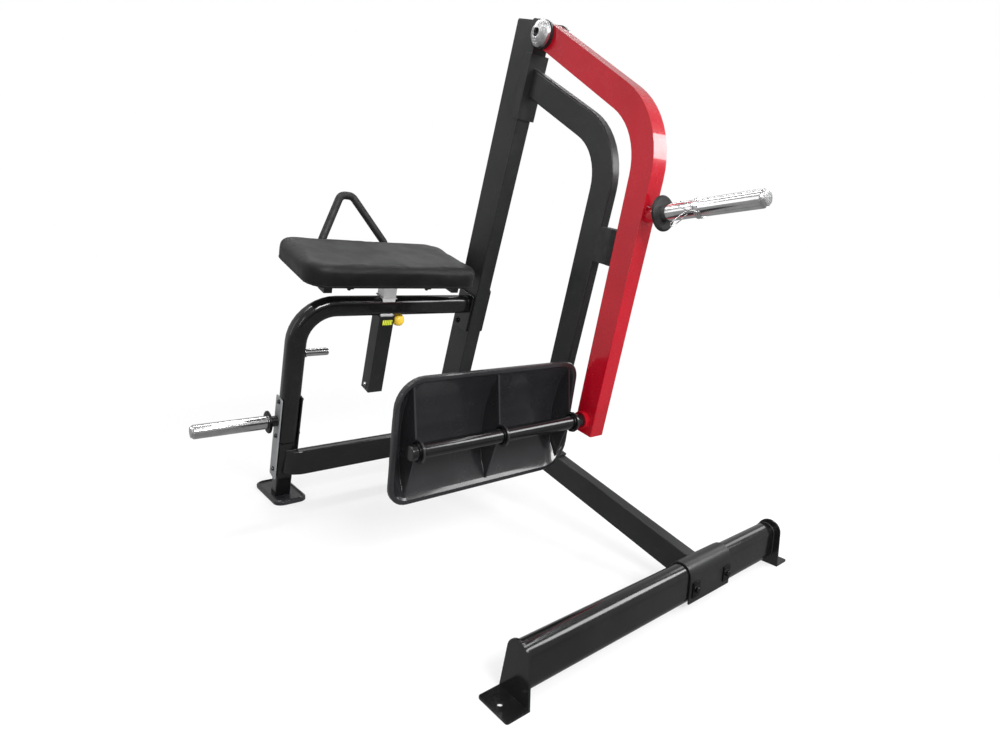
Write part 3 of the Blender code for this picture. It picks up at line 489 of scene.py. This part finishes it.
def dish_line(x, low, top):
    """Where a web meets the dish, from its lower to its upper end."""
    pts = [(PLATE_LOW + du, off) for du, off in DISH_SHAPE]
    pts += [(PLATE_HIGH - du, off) for du, off in DISH_SHAPE[::-1]]
    out = []
    for (u0, o0), (u1, o1) in zip(pts, pts[1:]):
        for k in range(DISH_STEPS):
            t = k / DISH_STEPS
            u, o = u0 + (u1 - u0) * t, o0 + (o1 - o0) * t
            if -low <= u <= top:
                out.append(on_plate(x, o - SINK, u))
    return out


# web: place along the foot tube, then how far it reaches above and below that tube
WEBS = (("left", -678, 166, 158), ("mid", -386, 168, 158), ("right", -88, 166, 145))
WEB_SIDES = (("a", -4.0), ("b", 4.0))
for tag, x, top, low in WEBS:
    for side, dx in WEB_SIDES:
        weld_line(f"weld_web_{tag}_{side}", dish_line(x + dx, low, top), DISH,
                  "kick_plate_group", 0.0026)

# --- small fittings ---------------------------------------------------------


def turned(name, at, axis, profile, material, body, segs=36):
    """Closed body of revolution; profile is (radius, height) in millimetres."""
    z = axis.normalized()
    x = z.orthogonal().normalized()
    y = z.cross(x)
    bm = bmesh.new()
    rings = []
    for r, h in profile:
        rings.append([bm.verts.new(at + z * (h * 0.001)
                                   + x * (r * 0.001 * math.cos(2 * math.pi * k / segs))
                                   + y * (r * 0.001 * math.sin(2 * math.pi * k / segs)))
                      for k in range(segs)])
    for a, b in zip(rings, rings[1:]):
        for k in range(segs):
            bm.faces.new((a[k], a[(k + 1) % segs], b[(k + 1) % segs], b[k]))
    bm.faces.new(rings[0][::-1])
    bm.faces.new(rings[-1])
    obj = piece(name, bm, material, body)
    mod = obj.modifiers.new("edge", "BEVEL")
    mod.width = 0.0004
    mod.segments = 2
    mod.angle_limit = math.radians(35)
    return obj


PIVOT = tilted(0, -101, 1825)
CAP_SEATS = (("left", -44.7, -1), ("right", 40.7, 1))
SOCKET_OUT = 0.0184
SOCKET = ((12.8, 0), (12.8, 4.2), (11.4, 5.2), (7.6, 5.2), (7.0, 4.6), (6.6, 2.0), (2.0, 1.8))
GROOVES = ((18.0, 28.8), (25.0, 25.6), (32.0, 22.16))     # radius, height on the cap
GROOVE_POINTS = 48
for tag, x, sign in CAP_SEATS:
    base = Vector((SHIFT.x * 0.001 + x * 0.001, PIVOT.y, PIVOT.z))
    turned(f"pivot_socket_{tag}", base + X_AXIS * (sign * SOCKET_OUT), X_AXIS * sign, SOCKET,
           BOLT, "base")
    for k, (r, h) in enumerate(GROOVES):
        angles = [2 * math.pi * j / GROOVE_POINTS for j in range(GROOVE_POINTS)]
        ring = [base + X_AXIS * (sign * h * 0.001)
                + Vector((0, math.cos(t), math.sin(t))) * (r * 0.001) for t in angles]
        piece(f"pivot_groove_{tag}_{k}", tube(ring, 0.0007, True, 6, 0.002), SATIN, "base")

# --- torso pad --------------------------------------------------------------

PAD_LOW = 913.05                      # back of the pad, along the frame's tilt
PAD_CORNERS = ((-756, -104), (-70, -104), (-73, 240), (-757, 243))
PAD_RADII = (78, 52, 84, 62)
SWELL_LIMIT, SWELL_FRAMES, SWELL_PRESSURE = 0.0045, 20, 4.0
FADE = 0.012                          # height over which the swelling sets in


def arc(p, a, b, r, segs):
    """Rounding of the corner p between the directions a and b."""
    half = a.angle(b) / 2
    center = p + (a + b).normalized() * (r / math.sin(half))
    start, end = p + a * (r / math.tan(half)) - center, p + b * (r / math.tan(half)) - center
    total = start.angle(end)
    perp = (end - start * (end.dot(start) / start.dot(start))).normalized() * r
    return [center + start * math.cos(total * k / segs) + perp * math.sin(total * k / segs)
            for k in range(segs + 1)]


def pad_outline(inset, segs=14):
    corners = [Vector(c) for c in PAD_CORNERS]
    out = []
    for i, p in enumerate(corners):
        a = (corners[i - 1] - p).normalized()
        b = (corners[(i + 1) % 4] - p).normalized()
        out += arc(p + (a + b) * inset, a, b, max(10.0, PAD_RADII[i] - inset), segs)
    return out


def pad_mesh():
    """Closed form of the upholstered board before it swells."""
    bm = bmesh.new()
    profile = ((26, 0.0), (8, 0.0), (3, 1.5), (1.2, 6), (0.6, 22), (0.8, 44), (2.5, 56), (7, 65),
               (14, 71), (25, 74.2), (46, 75.8))
    rings = []
    for inset, h in profile:
        rings.append([bm.verts.new(tilted(q.x, q.y, PAD_LOW + h)) for q in pad_outline(inset)])
    for a, b in zip(rings, rings[1:]):
        n = len(a)
        for i in range(n):
            bm.faces.new((a[i], a[(i + 1) % n], b[(i + 1) % n], b[i]))
    bm.faces.new(rings[0][::-1])
    bm.faces.new(rings[-1])
    return bm


def swell(obj, limit, frames, pressure, low):
    """Blow the skin up a little with cloth, then cap the travel and keep the back flat."""
    rest = np.array([v.co[:] for v in obj.data.vertices])
    cloth = obj.modifiers.new("cloth", "CLOTH")
    st = cloth.settings
    st.quality = 6
    st.mass = 0.3
    st.tension_stiffness = st.compression_stiffness = 60
    st.shear_stiffness = 10
    st.bending_stiffness = 12
    st.use_pressure = True
    st.uniform_pressure_force = pressure
    st.effector_weights.gravity = 0.0
    cloth.collision_settings.use_collision = False
    scene = bpy.context.scene
    scene.frame_start, scene.frame_end = 1, frames
    for f in range(1, frames + 1):
        scene.frame_set(f)
    dg = bpy.context.evaluated_depsgraph_get()
    done = obj.evaluated_get(dg).to_mesh()
    moved = np.array([v.co[:] for v in done.vertices])
    obj.evaluated_get(dg).to_mesh_clear()
    obj.modifiers.remove(cloth)
    scene.frame_set(1)
    step = moved - rest
    size = np.linalg.norm(step, axis=1, keepdims=True)
    step *= np.minimum(1.0, limit / np.maximum(size, 1e-9))
    w = (rest - np.array(low[:])) @ np.array(TW[:])
    step *= np.clip(w / FADE, 0.0, 1.0)[:, None]
    out = rest + step
    obj.data.vertices.foreach_set("co", out.ravel())
    obj.data.update()


def apply(obj, kind, **props):
    mod = obj.modifiers.new("step", kind)
    for key, value in props.items():
        setattr(mod, key, value)
    bpy.context.view_layer.objects.active = obj
    bpy.ops.object.modifier_apply(modifier=mod.name)


cushion = piece("torso_cushion", pad_mesh(), VINYL, "pad_group")
apply(cushion, "REMESH", mode="VOXEL", voxel_size=0.006)
swell(cushion, SWELL_LIMIT, SWELL_FRAMES, SWELL_PRESSURE, tilted(0, 0, PAD_LOW))
apply(cushion, "SMOOTH", factor=0.5, iterations=6)
shade_smooth(cushion.data)
finish = cushion.modifiers.new("finish", "SUBSURF")
finish.levels = finish.render_levels = 1
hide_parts("torso_pad")

skin = cushion.evaluated_get(bpy.context.evaluated_depsgraph_get())
seam = [skin.closest_point_on_mesh(tilted(q.x, q.y, PAD_LOW + 8.0))[1] for q in pad_outline(0.6)]
piece("torso_cushion_seam", tube(seam, 0.0016, True, 8, 0.003), PIPING, "pad_group")

# --- floor, light, camera ---------------------------------------------------


CAMERA_TURN = (39.274, -10.178, -2.150)                   # yaw, pitch, roll in degrees
CAMERA_AT = (-1494.42, -865.78, 943.04)
LENS, SENSOR = 21.466, 36.0
FLOOR_DROP = 0.0005


def make_floor():
    """White floor that takes shadow near the machine and glows evenly far from it."""
    bm = bmesh.new()
    bmesh.ops.create_circle(bm, cap_ends=True, radius=40.0, segments=96)
    mesh = bpy.data.meshes.new("floor")
    bm.to_mesh(mesh)
    bm.free()
    obj = bpy.data.objects.new("floor", mesh)
    obj.location.z = cad_box[0].z - FLOOR_DROP
    s = Shader("pale_floor", Roughness=0.7, Specular_IOR_Level=0.1)
    color = s.mix(s.remap(s.noise(2.5, 4.0), 0.3, 0.7, 0.0, 1.0), (0.90, 0.90, 0.905),
                  (0.93, 0.93, 0.935))
    s.set(Base_Color=color, Normal=s.bump(s.noise(300.0, 3.0), 0.02, 0.0005))
    glow = s.node("ShaderNodeEmission")
    glow.inputs["Strength"].default_value = 1.02
    length = s.node("ShaderNodeVectorMath", operation="LENGTH")
    s.link(s.co, length.inputs[0])
    far = s.remap(length.outputs["Value"], 1.2, 3.2, 0.62, 1.0)
    blend = s.node("ShaderNodeMixShader")
    s.link(far, blend.inputs["Fac"])
    s.link(s.bsdf.outputs["BSDF"], blend.inputs[1])
    s.link(glow.outputs["Emission"], blend.inputs[2])
    s.link(blend.outputs["Shader"], s.nt.nodes["Material Output"].inputs["Surface"])
    mesh.materials.append(s.mat)
    bpy.context.scene.collection.objects.link(obj)
    obj.visible_glossy = False


def area(name, at, aim, size, power):
    light = bpy.data.lights.new(name, "AREA")
    light.shape = "RECTANGLE"
    light.size, light.size_y = size
    light.energy = power
    obj = bpy.data.objects.new(name, light)
    obj.location = at
    obj.rotation_euler = (Vector(aim) - Vector(at)).to_track_quat("-Z", "Y").to_euler()
    obj.visible_camera = False
    bpy.context.scene.collection.objects.link(obj)


def make_world():
    """White seen by the camera; for light and reflections, brighter behind the machine."""
    world = bpy.data.worlds.new("studio")
    bpy.context.scene.world = world
    world.use_nodes = True
    nt = world.node_tree
    bg = nt.nodes["Background"]
    co = nt.nodes.new("ShaderNodeTexCoord").outputs["Generated"]

    def spread(direction, lo, hi, a, b):
        dot = nt.nodes.new("ShaderNodeVectorMath")
        dot.operation = "DOT_PRODUCT"
        dot.inputs[1].default_value = direction
        nt.links.new(co, dot.inputs[0])
        out = nt.nodes.new("ShaderNodeMapRange")
        out.interpolation_type = "SMOOTHSTEP"
        for key, value in (("From Min", lo), ("From Max", hi), ("To Min", a), ("To Max", b)):
            out.inputs[key].default_value = value
        nt.links.new(dot.outputs["Value"], out.inputs["Value"])
        return out.outputs["Result"]

    walls = spread((-0.25, 0.93, 0.1), -0.8, 0.7, 0.34, 0.46)
    ground = spread((0.0, 0.0, 1.0), -0.35, 0.05, 0.62, 1.0)
    level = nt.nodes.new("ShaderNodeMath")
    level.operation = "MULTIPLY"
    nt.links.new(walls, level.inputs[0])
    nt.links.new(ground, level.inputs[1])
    ray = nt.nodes.new("ShaderNodeLightPath")
    pick = nt.nodes.new("ShaderNodeMix")
    pick.inputs[3].default_value = 1.0
    nt.links.new(ray.outputs["Is Camera Ray"], pick.inputs[0])
    nt.links.new(level.outputs["Value"], pick.inputs[2])
    nt.links.new(pick.outputs[0], bg.inputs["Strength"])
    bg.inputs["Color"].default_value = (1, 1, 1, 1)


def make_camera():
    yaw, pitch, roll = (math.radians(a) for a in CAMERA_TURN)
    fwd = Vector((math.sin(yaw) * math.cos(pitch), math.cos(yaw) * math.cos(pitch),
                  math.sin(pitch)))
    right = fwd.cross(Z_AXIS).normalized()
    up = right.cross(fwd)
    r2 = right * math.cos(roll) - up * math.sin(roll)
    u2 = r2.cross(fwd)
    data = bpy.data.cameras.new("camera")
    data.lens, data.sensor_width = LENS, SENSOR
    data.clip_start, data.clip_end = 0.05, 200.0
    cam = bpy.data.objects.new("camera", data)
    m = Matrix((r2, u2, -fwd)).transposed().to_4x4()
    m.translation = row(*CAMERA_AT)
    cam.matrix_world = m
    bpy.context.scene.collection.objects.link(cam)
    bpy.context.scene.camera = cam


make_floor()
make_world()
make_camera()
area("key", (-0.6, -3.8, 3.0), (0, -0.1, 0.7), (2.0, 1.4), 165)
area("left", (-3.6, 1.6, 1.7), (0, 0, 0.8), (1.2, 2.2), 8)
area("right", (3.4, -0.6, 1.6), (0, 0, 0.8), (1.0, 2.4), 16)
for k, x in enumerate((-1.5, 0.2, 1.9)):
    area(f"strip_{k}", (x, 0.2, 3.4), (x, 0.2, 0.0), (0.16, 4.2), 20)
area("gloss", (2.4, -2.5, 2.3), (-0.2, 0.1, 0.6), (1.8, 1.1), 48)
area("bar_back", (-0.3, 1.7, 3.2), (-0.3, 0.6, 0.6), (4.2, 0.16), 22)
area("bar_low", (-2.6, -2.4, 0.9), (-0.3, 0.2, 0.7), (0.14, 1.6), 7)
scene = bpy.context.scene
scene.view_settings.view_transform = "Standard"
scene.view_settings.look = "None"
scene.view_settings.exposure = 0.0
